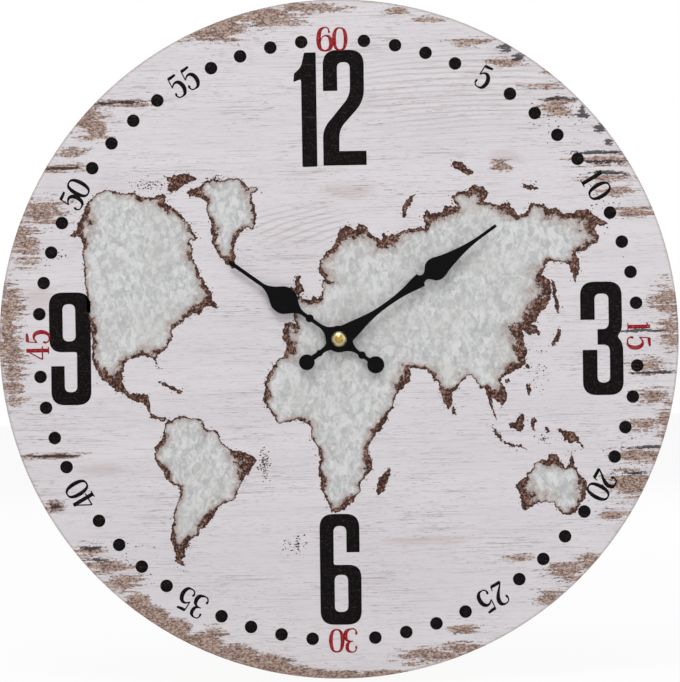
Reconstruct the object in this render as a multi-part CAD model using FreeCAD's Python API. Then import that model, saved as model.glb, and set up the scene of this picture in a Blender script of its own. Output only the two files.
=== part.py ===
import FreeCAD, Part
import math
import os

os.makedirs("parts", exist_ok=True)

# A round wall clock: a thin board with a printed map of the world, two black hands and a
# battery movement that hangs on a nail. All lengths are in millimetres.
# The origin is where the line that the hands turn about meets the wall.
# X runs to the right as the clock is read, Y runs into the wall and Z runs up.

# Face and board
dial_diameter = 340.0
board_thickness = 5.0
face_sheet_thickness = 0.3
dial_hole_clearance = 0.15

# Housing of the movement. Its width, depth and lower edge follow the battery.
case_above = 28.0
case_wall = 1.2
case_corner_radius = 4.0
case_edge_ease = 0.6
works_below = 10.7

# Battery, its bay and its contacts
battery_diameter = 14.5
battery_length = 50.5
battery_button_diameter = 5.5
battery_button_length = 1.3
battery_room = 0.3
battery_back_room = 0.5
battery_end_room = 1.55
bay_divider = 1.0
bay_rib_width = 1.2
bay_window_margin = 0.45
contact_sheet = 0.4
contact_height = 9.0
contact_depth = 8.0
contact_play = 0.05

# Hanging tab behind the top of the movement
tab_thickness = 3.0
tab_height = 15.0
tab_foot_width = 30.0
tab_top_width = 15.0
tab_corner_radius = 5.0
hanging_eye_diameter = 8.0
hanging_eye_above_case = 7.5

# Threaded bush, washers and nut that hold the board. Each one's width is that beyond the bush.
bush_wall = 1.35
bush_past_nut = 0.4
rubber_width = 6.0
rubber_thickness = 1.0
washer_width = 2.2
washer_thickness = 0.5
nut_width = 1.5
nut_thickness = 2.3

# Hands and the nut in front of them
hand_thickness = 0.6
hand_gap = 0.8
hour_hand_length = 67.0
hour_hub_diameter = 13.4
hour_pipe_past_hand = 0.1
hour_hand_angle = 306.2
minute_hand_length = 96.7
minute_hub_diameter = 13.0
minute_hand_angle = 55.2
cap_wall = 2.1
cap_rim = 1.0
cap_dome = 2.0
cap_thread_depth = 1.6
cap_dome_shares = [(0, 1), (0.55, 0.80), (1, 0.30)]

# Hand outlines. Each pair is a distance along the hand and half the width there, both as
# shares of the hand's length. The other side is the same outline turned over.
hour_flare_shares = [(0.075, 0.068), (0.110, 0.033), (0.145, 0.018), (0.190, 0.014)]
hour_spade_shares = [
    (0.320, 0.015),
    (0.365, 0.024),
    (0.410, 0.055),
    (0.455, 0.091),
    (0.505, 0.101),
    (0.550, 0.092),
    (0.600, 0.056),
    (0.645, 0.029),
    (0.720, 0.014),
]
hour_bar_share = 0.0143
hour_bead_share = 0.030
hour_bead_place_share = 0.268
hour_tail_share = 0.064
hour_tail_place_share = -0.334
hour_tail_bead_share = 0.029
hour_tail_bead_place_share = -0.209
minute_blade_shares = [
    (0.040, 0.052),
    (0.105, 0.038),
    (0.165, 0.0255),
    (0.230, 0.0155),
    (0.300, 0.0125),
    (0.375, 0.0150),
    (0.440, 0.0230),
    (0.480, 0.0310),
    (0.522, 0.0365),
]
minute_waist_shares = [(0.522, 0.0365), (0.530, 0.0215), (0.548, 0.0180), (0.563, 0.0270), (0.577, 0.0430)]
minute_leaf_shares = [
    (0.577, 0.0430),
    (0.597, 0.0565),
    (0.622, 0.0595),
    (0.662, 0.0480),
    (0.724, 0.0315),
    (0.790, 0.0185),
    (0.850, 0.0110),
    (0.910, 0.0083),
]
minute_bar_share = 0.0083
minute_tail_share = 0.0405
minute_tail_place_share = -0.205
minute_tail_bead_share = 0.0170
minute_tail_bead_place_share = -0.124
minute_tail_flare_shares = [(-0.050, 0.040), (-0.080, 0.0160), (-0.105, 0.0120), (-0.170, 0.0130)]

# Teeth, the same form for every wheel: heights in modules, half widths in tooth spacings
tooth_tip_share = 0.9
tooth_root_share = 1.3
tooth_tip_width_share = 0.09
tooth_root_width_share = 0.25

# Tooth counts. The minute arbor turns twelve times for each turn of the hour wheel, and the
# setting knob turns with the minute arbor.
cannon_leaves = 10
motion_teeth = 30
motion_leaves = 8
hour_teeth = 32
knob_leaves = 10

# Direction from the minute arbor to the motion wheel and on to the knob, in degrees
knob_direction = -5.0

# Levels of the wheels, counted from the front wall of the housing
first_level_gap = 0.6
wheel_thickness = 0.9
level_gap = 0.5
arbor_diameter = 0.9
pivot_clearance = 0.05
end_play = 0.1
post_diameter = 3.0
pipe_clearance = 0.1
hour_pipe_wall = 0.7
minute_arbor_diameter = 3.5
minute_arbor_neck = 2.4
motion_post_diameter = 1.5
knob_diameter = 12.0
knob_grip = 2.9
knob_shaft_diameter = 3.0
knob_well_room = 0.5
knob_well_gap = 0.2
knob_below_back = 0.3
knob_ridges = 18
knob_ridge_height = 0.4

# Closed motor block behind the wheels, and the coil held between its two ears
block_left_room = 3.8
block_right_room = 9.3
block_bottom_room = 0.5
block_back_room = 3.0
block_well_gap = 0.6
block_corner_cut = 11.0
block_post_inset = 2.5
coil_ear_width = 3.5
coil_top_room = 0.8
coil_block_gap = 0.6
coil_core_width = 3.4
coil_core_thickness = 0.8
coil_sleeve_wall = 0.6
coil_winding_diameter = 6.0
coil_flange_size = 6.6
coil_flange_thickness = 0.8
coil_end_gap = 0.4

# Circuit board on the back of the motor block
circuit_inset = 0.7
circuit_width = 8.4
circuit_height = 14.0
circuit_thickness = 0.8
chip_diameter = 4.0
chip_height = 0.8
crystal_diameter = 1.6
crystal_length = 6.0
crystal_foot_share = 0.5

# Planes, each worked out from the sizes above. Y falls from the wall towards the reader.
battery_half = battery_length / 2
case_inner_half = battery_half + battery_end_room
case_half = case_inner_half + case_wall
case_depth = case_wall + battery_room + battery_diameter + battery_back_room
case_inner_top = case_above - case_wall
divider_top = -works_below
divider_bottom = divider_top - bay_divider
case_inner_bottom = divider_bottom - battery_diameter - 2 * battery_room
case_bottom = case_inner_bottom - case_wall
case_front = -case_depth
case_floor = case_front + case_wall
cover_front = -case_wall
board_back = case_front - rubber_thickness
board_front = board_back - board_thickness
face_front = board_front - face_sheet_thickness
washer_front = face_front - washer_thickness
nut_front = washer_front - nut_thickness
bush_front = nut_front - bush_past_nut
hour_hand_back = bush_front - hand_gap
hour_hand_front = hour_hand_back - hand_thickness
hour_pipe_front = hour_hand_front - hour_pipe_past_hand
minute_hand_back = hour_pipe_front - hand_gap
minute_hand_front = minute_hand_back - hand_thickness
minute_arbor_front = minute_hand_front - cap_thread_depth
cap_front = minute_hand_front - cap_rim - cap_dome

# Fits round the middle, each wider than the one inside it
hour_pipe_bore = minute_arbor_diameter + 2 * pipe_clearance
hour_pipe_diameter = hour_pipe_bore + 2 * hour_pipe_wall
bush_bore = hour_pipe_diameter + 2 * pipe_clearance
bush_diameter = bush_bore + 2 * bush_wall
rubber_diameter = bush_diameter + 2 * rubber_width
washer_diameter = bush_diameter + 2 * washer_width
nut_across_flats = bush_diameter + 2 * nut_width
cap_diameter = minute_arbor_diameter + 2 * cap_wall

# Levels of the wheels
level_pitch = wheel_thickness + level_gap


def level_front(number):
    return case_floor + first_level_gap + (number - 1) * level_pitch


def level_back(number):
    return level_front(number) + wheel_thickness


block_front = level_front(3)
block_back = cover_front - block_back_room
circuit_back = block_back + circuit_thickness

# Simple forms. Each one stands along Y between a back plane and a front plane.
FORWARD = FreeCAD.Vector(0, -1, 0)
SIDEWAYS = FreeCAD.Vector(1, 0, 0)


def spot(x, y, z):
    return FreeCAD.Vector(x, y, z)


def rod(diameter, back, front, centre=(0, 0)):
    start = spot(centre[0], back, centre[1])
    return Part.makeCylinder(diameter / 2, back - front, start, FORWARD)


def tube(outside, bore, back, front, centre=(0, 0)):
    return rod(outside, back, front, centre).cut(rod(bore, back, front, centre))


def slab(left, right, bottom, top, back, front):
    return Part.makeBox(right - left, back - front, top - bottom, spot(left, front, bottom))


def plate(points, back, front):
    corners = [spot(x, back, z) for x, z in points]
    outline = Part.makePolygon(corners + corners[:1])
    return Part.Face(outline).extrude(FORWARD * (back - front))


def rounded_slab(half, bottom, top, radius, back, front):
    block = slab(-half, half, bottom, top, back, front)
    boxes = [(edge, edge.BoundBox) for edge in block.Edges]
    standing = [edge for edge, box in boxes if box.YLength > max(box.XLength, box.ZLength)]
    return block.makeFillet(radius, standing)


def edges_on_plane(shape, level):
    near = case_wall / case_depth * contact_play
    return [
        edge
        for edge in shape.Edges
        if abs(edge.BoundBox.YMin - level) < near and abs(edge.BoundBox.YMax - level) < near
    ]


def join(first, others):
    return first.multiFuse(others).removeSplitter()


def save(shape, node):
    shape.exportStep("parts/" + node + ".step")


def step_from(start, distance, degrees):
    turn = math.radians(degrees)
    return (start[0] + distance * math.cos(turn), start[1] + distance * math.sin(turn))


# Places of the arbors, looking at the face. The knob stands as far right as its well allows,
# and the motion wheel halfway to it.
knob_well = knob_diameter + 2 * knob_well_room
knob_well_outside = knob_well + 2 * case_wall
knob_right = case_inner_half - knob_well_gap - knob_well_outside / 2
centre_to_motion = knob_right / 2 / math.cos(math.radians(knob_direction))
centre_axis = (0, 0)
motion_axis = step_from(centre_axis, centre_to_motion, knob_direction)
knob_axis = step_from(motion_axis, centre_to_motion, knob_direction)
cannon_module = 2 * centre_to_motion / (cannon_leaves + motion_teeth)
motion_module = 2 * centre_to_motion / (motion_leaves + hour_teeth)


def gear(teeth, module, phase, level, axis):
    pitch_radius = teeth * module / 2
    tip = pitch_radius + tooth_tip_share * module
    root = pitch_radius - tooth_root_share * module
    spacing = 2 * math.pi / teeth
    points = []
    for tooth in range(teeth):
        middle = phase + tooth * spacing
        for radius, offset in (
            (root, -tooth_root_width_share),
            (tip, -tooth_tip_width_share),
            (tip, tooth_tip_width_share),
            (root, tooth_root_width_share),
        ):
            turn = middle + offset * spacing
            points.append((axis[0] + radius * math.cos(turn), axis[1] + radius * math.sin(turn)))
    return plate(points, level_back(level), level_front(level))


def bearing(start, end):
    return math.atan2(end[1] - start[1], end[0] - start[0])


def meshing_phase(phase, teeth, axis, other_teeth, other_axis):
    # Where the other wheel's teeth point so that they fall into this wheel's gaps
    direction = bearing(axis, other_axis)
    share = (direction - phase) * teeth / (2 * math.pi) % 1
    return direction + math.pi - (1 / 2 - share) * 2 * math.pi / other_teeth


motion_phase = meshing_phase(0, cannon_leaves, centre_axis, motion_teeth, motion_axis)
knob_phase = meshing_phase(motion_phase, motion_teeth, motion_axis, knob_leaves, knob_axis)
hour_phase = meshing_phase(0, motion_leaves, motion_axis, hour_teeth, centre_axis)

# Board, and the printed sheet glued on it
dial_bore = bush_diameter + 2 * dial_hole_clearance
save(tube(dial_diameter, dial_bore, board_back, board_front), "dial_board")
save(tube(dial_diameter, dial_bore, board_front, face_front), "printed_face")

# Motor block: its outline leaves room for the knob's well and for the coil
coil_height = case_inner_top - coil_top_room - coil_flange_size / 2
block_left = -case_inner_half + block_left_room
block_right = case_inner_half - block_right_room
block_bottom = -works_below + block_bottom_room
block_top = coil_height - coil_flange_size / 2 - coil_block_gap
block_beside_well = knob_axis[0] - knob_well_outside / 2 - block_well_gap
block_above_well = knob_axis[1] + knob_well_outside / 2 + block_well_gap
block_side_top = block_top - block_corner_cut
block_outline = [
    (block_left, block_bottom),
    (block_beside_well, block_bottom),
    (block_beside_well, block_above_well),
    (block_right, block_above_well),
    (block_right, block_top),
    (block_left + block_corner_cut, block_top),
    (block_left, block_side_top),
]
block_posts = [
    (block_left + block_post_inset, block_bottom + block_post_inset),
    (block_left + block_post_inset, block_side_top - block_post_inset),
    (block_right - block_post_inset, block_above_well + block_post_inset),
]

# Battery bay, along the bottom of the housing
battery_axis_z = case_inner_bottom + battery_room + battery_diameter / 2
battery_axis_y = case_floor + battery_room + battery_diameter / 2

# Housing: a moulded tub open towards the wall, with posts for the wheels and the motor block
pivot_hole = arbor_diameter + 2 * pivot_clearance
motion_post_end = level_back(2) + end_play
knob_post_end = level_front(2) - end_play
tub = rounded_slab(case_half, case_bottom, case_above, case_corner_radius, cover_front, case_front)
tub = tub.makeChamfer(case_edge_ease, edges_on_plane(tub, case_front))
hollow = rounded_slab(
    case_inner_half,
    case_inner_bottom,
    case_inner_top,
    case_corner_radius - case_wall,
    cover_front,
    case_floor,
)
divider = slab(-case_inner_half, case_inner_half, divider_bottom, divider_top, cover_front, case_floor)
ribs = []
for side in (-1, 1):
    rib_middle = side * battery_half / 2
    ribs.append(
        slab(
            rib_middle - bay_rib_width / 2,
            rib_middle + bay_rib_width / 2,
            case_inner_bottom,
            divider_bottom,
            battery_axis_y - battery_diameter / 4,
            case_floor,
        )
    )
bay_round = Part.makeCylinder(
    battery_diameter / 2 + battery_room,
    battery_length,
    spot(-battery_half, battery_axis_y, battery_axis_z),
    SIDEWAYS,
)
ribs = [rib.cut(bay_round) for rib in ribs]
posts = [rod(post_diameter, block_front, case_floor, place) for place in block_posts]
posts.append(rod(motion_post_diameter, motion_post_end, case_floor, motion_axis))
posts.append(rod(post_diameter, knob_post_end, case_floor, knob_axis))
front_case = join(tub.cut(hollow), [divider] + ribs + posts)
front_case = front_case.cut(rod(bush_diameter, case_floor, case_front))
front_case = front_case.cut(rod(pivot_hole, knob_post_end, case_floor, knob_axis))
save(front_case, "front_case")

# Cover on the wall side: battery window, sunk well for the knob, tab with the hanging eye
window_side = case_inner_half - contact_sheet - bay_window_margin
knob_back = -knob_below_back
knob_front = knob_back - knob_grip
well_floor_back = knob_front - end_play
well_floor_front = well_floor_back - case_wall
cover = rounded_slab(case_half, case_bottom, case_above, case_corner_radius, 0, cover_front)
cover = cover.makeChamfer(case_edge_ease, edges_on_plane(cover, 0))
cover = cover.cut(slab(-window_side, window_side, case_inner_bottom, divider_bottom, 0, cover_front))
tab_outline = [
    (-tab_foot_width / 2, case_above),
    (tab_foot_width / 2, case_above),
    (tab_top_width / 2, case_above + tab_height),
    (-tab_top_width / 2, case_above + tab_height),
]
tab = plate(tab_outline, 0, -tab_thickness)
tab_top_edges = [
    edge
    for edge in tab.Edges
    if edge.BoundBox.ZMin > case_above + tab_height / 2 and edge.BoundBox.XLength < tab_thickness / 2
]
tab = tab.makeFillet(tab_corner_radius, tab_top_edges)
tab_root = slab(
    -tab_foot_width / 2,
    tab_foot_width / 2,
    case_inner_top,
    case_above,
    -case_edge_ease,
    cover_front,
)
eye_axis = (0, case_above + hanging_eye_above_case)
well = rod(knob_well_outside, -case_edge_ease, well_floor_front, knob_axis)
cover = join(cover, [tab, tab_root, well])
cover = cover.cut(rod(hanging_eye_diameter, 0, -tab_thickness, eye_axis))
cover = cover.cut(rod(knob_well, 0, well_floor_back, knob_axis))
cover = cover.cut(rod(knob_shaft_diameter + 2 * pivot_clearance, 0, well_floor_front, knob_axis))
save(cover, "rear_cover")

# Motor block: closed and solid, with two ears for the coil and a hole for the arbor's neck
coil_y = cover_front - end_play - coil_flange_size / 2
core_back = coil_y + coil_core_thickness / 2
core_front = coil_y - coil_core_thickness / 2
core_bottom = coil_height - coil_core_width / 2
core_top = coil_height + coil_core_width / 2
core_left = block_left + block_corner_cut
core_right = block_right
neck_bore = minute_arbor_neck + 2 * pivot_clearance
neck_back = block_front + wheel_thickness
ear_foot = block_top - coil_ear_width
motor_block = join(
    plate(block_outline, block_back, block_front),
    [
        slab(core_left, core_left + coil_ear_width, ear_foot, core_top, core_front, block_front),
        slab(core_right - coil_ear_width, core_right, ear_foot, core_top, core_front, block_front),
    ],
)
save(motor_block.cut(rod(neck_bore, neck_back + end_play, block_front)), "motor_block")

# Rubber washer, threaded bush, flat washer and six-sided nut round the middle
save(tube(rubber_diameter, bush_diameter, case_front, board_back), "rubber_washer")
save(tube(bush_diameter, bush_bore, case_floor, bush_front), "threaded_bush")
save(tube(washer_diameter, bush_diameter, face_front, washer_front), "dial_washer")
nut_corner = nut_across_flats / math.sqrt(3)
nut_points = [step_from(centre_axis, nut_corner, corner * 60) for corner in range(6)]
nut_block = plate(nut_points, washer_front, nut_front)
save(nut_block.cut(rod(bush_diameter, washer_front, nut_front)), "fixing_nut")


# Hands
def outline_side(runs, length, side):
    curves = []
    for run in runs:
        knots = [spot(side * width * length, 0, along * length) for along, width in run]
        curve = Part.BSplineCurve()
        curve.interpolate(knots)
        curves.append(curve.toShape())
    return curves


def blade(runs, length, thickness):
    # A flat piece with the same outline on both sides of the hand's own line
    left = outline_side(runs, length, -1)
    right = outline_side(runs, length, 1)
    foot = Part.makeLine(left[0].valueAt(left[0].FirstParameter), right[0].valueAt(right[0].FirstParameter))
    tip = Part.makeLine(left[-1].valueAt(left[-1].LastParameter), right[-1].valueAt(right[-1].LastParameter))
    edges = Part.__sortEdges__(left + right + [foot, tip])
    return Part.Face(Part.Wire(edges)).extrude(FORWARD * thickness)


def bar(half_width, start, end, thickness):
    return slab(-half_width, half_width, start, end, 0, -thickness)


def set_hand(shape, back, degrees):
    placed = shape.copy()
    placed.rotate(spot(0, 0, 0), spot(0, 1, 0), degrees)
    placed.translate(spot(0, back, 0))
    return placed


hour_bar = hour_bar_share * hour_hand_length
hour_tip = hour_hand_length - hour_bar
hour_flat = join(
    rod(hour_hub_diameter, 0, -hand_thickness),
    [
        bar(hour_bar, hour_tail_place_share * hour_hand_length, hour_tip, hand_thickness),
        rod(2 * hour_bar, 0, -hand_thickness, (0, hour_tip)),
        blade([hour_flare_shares], hour_hand_length, hand_thickness),
        blade([hour_spade_shares], hour_hand_length, hand_thickness),
        blade([[(-along, width) for along, width in hour_flare_shares]], hour_hand_length, hand_thickness),
        rod(
            2 * hour_bead_share * hour_hand_length,
            0,
            -hand_thickness,
            (0, hour_bead_place_share * hour_hand_length),
        ),
        rod(
            2 * hour_tail_share * hour_hand_length,
            0,
            -hand_thickness,
            (0, hour_tail_place_share * hour_hand_length),
        ),
        rod(
            2 * hour_tail_bead_share * hour_hand_length,
            0,
            -hand_thickness,
            (0, hour_tail_bead_place_share * hour_hand_length),
        ),
    ],
)
hour_hand = set_hand(hour_flat, hour_hand_back, hour_hand_angle)
hour_hand = hour_hand.cut(rod(hour_pipe_diameter, hour_hand_back, hour_hand_front))
save(hour_hand.removeSplitter(), "hour_hand")

minute_bar = minute_bar_share * minute_hand_length
minute_flat = join(
    rod(minute_hub_diameter, 0, -hand_thickness),
    [
        bar(minute_bar, minute_tail_place_share * minute_hand_length, minute_hand_length, hand_thickness),
        blade(
            [minute_blade_shares, minute_waist_shares, minute_leaf_shares],
            minute_hand_length,
            hand_thickness,
        ),
        blade([minute_tail_flare_shares], minute_hand_length, hand_thickness),
        rod(
            2 * minute_tail_share * minute_hand_length,
            0,
            -hand_thickness,
            (0, minute_tail_place_share * minute_hand_length),
        ),
        rod(
            2 * minute_tail_bead_share * minute_hand_length,
            0,
            -hand_thickness,
            (0, minute_tail_bead_place_share * minute_hand_length),
        ),
    ],
)
minute_hand = set_hand(minute_flat, minute_hand_back, minute_hand_angle)
minute_hand = minute_hand.cut(rod(minute_arbor_diameter, minute_hand_back, minute_hand_front))
save(minute_hand.removeSplitter(), "minute_hand")

# Brass cap nut, turned with a domed end over the end of the minute arbor
cap_rim_front = minute_hand_front - cap_rim
cap_steps = [cap_rim_front - cap_dome * rise for rise, width in cap_dome_shares]
cap_radii = [cap_diameter / 2 * width for rise, width in cap_dome_shares]
cap_parts = []
for step in range(len(cap_steps) - 1):
    cap_parts.append(
        Part.makeCone(
            cap_radii[step],
            cap_radii[step + 1],
            cap_steps[step] - cap_steps[step + 1],
            spot(0, cap_steps[step], 0),
            FORWARD,
        )
    )
cap = join(rod(cap_diameter, minute_hand_front, cap_rim_front), cap_parts)
cap = cap.cut(rod(minute_arbor_diameter, minute_hand_front, minute_arbor_front))
save(cap, "hand_nut")

# Minute arbor with the cannon pinion, and the neck that turns in the motor block
minute_arbor = join(
    rod(minute_arbor_diameter, level_front(2), minute_arbor_front),
    [
        gear(cannon_leaves, cannon_module, 0, 2, centre_axis),
        rod(minute_arbor_neck, neck_back, level_front(2)),
    ],
)
save(minute_arbor, "minute_arbor")

# Hour wheel on its pipe
hour_wheel = join(
    gear(hour_teeth, motion_module, hour_phase, 1, centre_axis),
    [rod(hour_pipe_diameter, level_back(1), hour_pipe_front)],
)
save(hour_wheel.cut(rod(hour_pipe_bore, level_back(1), hour_pipe_front)), "hour_wheel")

# Motion wheel and its pinion, loose on the post of the housing
motion_wheel = join(
    gear(motion_teeth, cannon_module, motion_phase, 2, motion_axis),
    [
        gear(motion_leaves, motion_module, 0, 1, motion_axis),
        rod(2 * motion_post_diameter, level_front(2), level_back(1), motion_axis),
    ],
)
motion_bore = motion_post_diameter + 2 * pivot_clearance
save(motion_wheel.cut(rod(motion_bore, level_back(2), level_front(1), motion_axis)), "motion_wheel")

# Setting knob with a ridged grip, a shaft and a pinion
grip_points = []
for ridge in range(knob_ridges):
    for quarter, radius in enumerate(
        (
            knob_diameter / 2,
            knob_diameter / 2,
            knob_diameter / 2 - knob_ridge_height,
            knob_diameter / 2 - knob_ridge_height,
        )
    ):
        grip_points.append(step_from(knob_axis, radius, (ridge + quarter / 4) * 360 / knob_ridges))
setting_knob = join(
    plate(grip_points, knob_back, knob_front),
    [
        rod(knob_shaft_diameter, knob_front, level_back(2), knob_axis),
        gear(knob_leaves, cannon_module, knob_phase, 2, knob_axis),
        rod(arbor_diameter, level_front(2), case_floor + end_play, knob_axis),
    ],
)
save(setting_knob, "setting_knob")

# Coil: core across the ears, bobbin on the core and copper wire on the bobbin
save(slab(core_left, core_right, core_bottom, core_top, core_back, core_front), "coil_core")
spool_left = core_left + coil_ear_width + coil_end_gap
spool_right = core_right - coil_ear_width - coil_end_gap


def spool(left, right, half_width, half_depth):
    return slab(
        left,
        right,
        coil_height - half_width,
        coil_height + half_width,
        coil_y + half_depth,
        coil_y - half_depth,
    )


sleeve_half_width = coil_core_width / 2 + coil_sleeve_wall
sleeve_half_depth = coil_core_thickness / 2 + coil_sleeve_wall
flange_half = coil_flange_size / 2
sleeve = spool(spool_left, spool_right, sleeve_half_width, sleeve_half_depth)
bobbin = join(
    sleeve,
    [
        spool(spool_left, spool_left + coil_flange_thickness, flange_half, flange_half),
        spool(spool_right - coil_flange_thickness, spool_right, flange_half, flange_half),
    ],
)
coil_hole = spool(spool_left, spool_right, coil_core_width / 2, coil_core_thickness / 2)
save(bobbin.cut(coil_hole), "coil_bobbin")
winding = Part.makeCylinder(
    coil_winding_diameter / 2,
    spool_right - spool_left - 2 * coil_flange_thickness,
    spot(spool_left + coil_flange_thickness, coil_y, coil_height),
    SIDEWAYS,
)
save(winding.cut(sleeve), "coil_winding")

# Circuit board, with its chip under a drop of resin and its crystal
circuit_left = block_left + circuit_inset
circuit_right = circuit_left + circuit_width
circuit_middle_x = (circuit_left + circuit_right) / 2
circuit_middle_z = (block_bottom + block_side_top) / 2
circuit_bottom = circuit_middle_z - circuit_height / 2
circuit_top = circuit_middle_z + circuit_height / 2
circuit = slab(circuit_left, circuit_right, circuit_bottom, circuit_top, circuit_back, block_back)
save(circuit, "circuit_board")
chip_place = (circuit_middle_x, circuit_middle_z - circuit_height / 4)
save(rod(chip_diameter, circuit_back + chip_height, circuit_back, chip_place), "circuit_chip")
crystal_z = circuit_middle_z + circuit_height / 4
crystal_left = circuit_middle_x - crystal_length / 2
crystal_y = circuit_back + crystal_diameter / 2
foot_half = crystal_diameter / 2 * crystal_foot_share
crystal = Part.makeCylinder(
    crystal_diameter / 2,
    crystal_length,
    spot(crystal_left, crystal_y, crystal_z),
    SIDEWAYS,
)
crystal_foot = slab(
    crystal_left,
    crystal_left + crystal_length,
    crystal_z - foot_half,
    crystal_z + foot_half,
    crystal_y,
    circuit_back,
)
save(join(crystal, [crystal_foot]), "quartz_crystal")

# Battery, with its button to the right, and the two contacts on the end walls of the bay
battery_barrel = Part.makeCylinder(
    battery_diameter / 2,
    battery_length - battery_button_length,
    spot(-battery_half, battery_axis_y, battery_axis_z),
    SIDEWAYS,
)
battery_button = Part.makeCylinder(
    battery_button_diameter / 2,
    battery_button_length,
    spot(battery_half - battery_button_length, battery_axis_y, battery_axis_z),
    SIDEWAYS,
)
save(battery_barrel.fuse(battery_button), "battery")

contact_back = battery_axis_y + contact_depth / 2
contact_front = battery_axis_y - contact_depth / 2
contact_bottom = battery_axis_z - contact_height / 2
contact_top = battery_axis_z + contact_height / 2
positive_plate = slab(
    case_inner_half - contact_sheet,
    case_inner_half,
    contact_bottom,
    contact_top,
    contact_back,
    contact_front,
)
positive_face = battery_half + contact_play
positive_bump = slab(
    positive_face,
    case_inner_half - contact_sheet,
    battery_axis_z - contact_height / 4,
    battery_axis_z + contact_height / 4,
    battery_axis_y + contact_depth / 4,
    battery_axis_y - contact_depth / 4,
)
save(positive_plate.fuse(positive_bump).removeSplitter(), "positive_contact")
negative_face = -battery_half - contact_play
leaf_inner = negative_face - contact_sheet
leaf_outline = [
    (-case_inner_half, contact_top),
    (negative_face, battery_axis_z + contact_sheet * 3),
    (negative_face, battery_axis_z - contact_sheet * 3),
    (-case_inner_half, contact_bottom),
    (-case_inner_half, contact_bottom + contact_sheet * 2),
    (leaf_inner, battery_axis_z - contact_sheet * 2),
    (leaf_inner, battery_axis_z + contact_sheet * 2),
    (-case_inner_half, contact_top - contact_sheet * 2),
]
save(plate(leaf_outline, contact_back, contact_front), "negative_contact")
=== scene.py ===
import bpy
import math
import random
import numpy as np
from mathutils import Matrix, Vector
from mathutils.geometry import delaunay_2d_cdt


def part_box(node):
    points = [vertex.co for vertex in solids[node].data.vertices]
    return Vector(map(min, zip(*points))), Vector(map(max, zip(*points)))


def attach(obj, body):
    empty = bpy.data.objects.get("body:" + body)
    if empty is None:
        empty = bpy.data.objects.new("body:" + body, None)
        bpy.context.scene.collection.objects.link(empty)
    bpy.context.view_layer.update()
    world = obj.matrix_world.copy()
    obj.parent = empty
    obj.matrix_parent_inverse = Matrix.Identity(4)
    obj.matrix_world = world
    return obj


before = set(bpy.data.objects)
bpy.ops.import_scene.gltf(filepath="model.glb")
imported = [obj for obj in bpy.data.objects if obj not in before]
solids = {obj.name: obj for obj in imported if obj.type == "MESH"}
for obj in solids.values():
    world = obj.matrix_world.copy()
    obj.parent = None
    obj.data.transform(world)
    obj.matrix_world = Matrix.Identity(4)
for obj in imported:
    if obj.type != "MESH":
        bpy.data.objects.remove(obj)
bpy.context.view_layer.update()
face_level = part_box("printed_face")[0][1]

# The print is drawn on a sketch with its origin at the top left. A unit of it is SKETCH metres, the
# dial's middle lies at MIDDLE, and the dial leans to the left by LEAN_DEGREES.
SKETCH = 0.0005006
SKETCH_WIDTH = 680
LEAN_DEGREES = 1.1
LEAN = math.radians(LEAN_DEGREES)
MIDDLE = (339.1, 338.9)
# Half the print's thickness, and each pen stroke's rise above the one before, in metres
INK = 0.00003
STROKE_LIFT = INK / 8
MINUTE_DEGREES = 6


def on_face(across, down):
    """A place on the sketch as x and z on the upright dial, in metres."""
    u = (across - MIDDLE[0]) * SKETCH
    v = (MIDDLE[1] - down) * SKETCH
    x = u * math.cos(LEAN) + v * math.sin(LEAN)
    z = -u * math.sin(LEAN) + v * math.cos(LEAN)
    return x, z


def on_face_mm(across, down):
    return tuple(1000 * part for part in on_face(across, down))


# ---------------------------------------------------------------- camera, light and floor
def place(name, data, spot=(0, 0, 0), turn=(0, 0, 0)):
    thing = bpy.data.objects.new(name, data)
    bpy.context.scene.collection.objects.link(thing)
    thing.location = spot
    thing.rotation_euler = [math.radians(angle) for angle in turn]
    return thing


CAMERA_DISTANCE = 1.8
CAMERA_X, CAMERA_Z = 0.00045, -0.001


def set_up_camera():
    """A camera that sees the sketch's width at the face, rolled by the dial's lean."""
    data = bpy.data.cameras.new("camera")
    data.sensor_fit = "HORIZONTAL"
    data.sensor_width = 36
    data.lens = data.sensor_width * CAMERA_DISTANCE / (SKETCH_WIDTH * SKETCH)
    data.clip_end = 50
    spot = (CAMERA_X, face_level - CAMERA_DISTANCE, CAMERA_Z)
    bpy.context.scene.camera = place("camera", data, spot, (90, LEAN_DEGREES, 0))


def lamp(name, spot, turn, size, watts):
    data = bpy.data.lights.new(name, "AREA")
    data.shape = "DISK"
    data.size = size
    data.energy = watts
    place(name, data, spot, turn)


# ---------------------------------------------------------------- shader maths
def shade(red, green, blue):
    """A colour as it is seen on a screen, 0 to 255, in the shader's own terms."""
    parts = [part / 255 for part in (red, green, blue)]
    linear = [part / 12.92 if part < 0.04045 else ((part + 0.055) / 1.055) ** 2.4 for part in parts]
    return (*linear, 1)


def maths(operation, turned=False):
    """A method of Tone that works on itself and another value, or turned round."""

    def work(self, other=0.0):
        first, second = (other, self) if turned else (self, other)
        return self.node("Math", {"operation": operation}, {0: first, 1: second})

    return work


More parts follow.
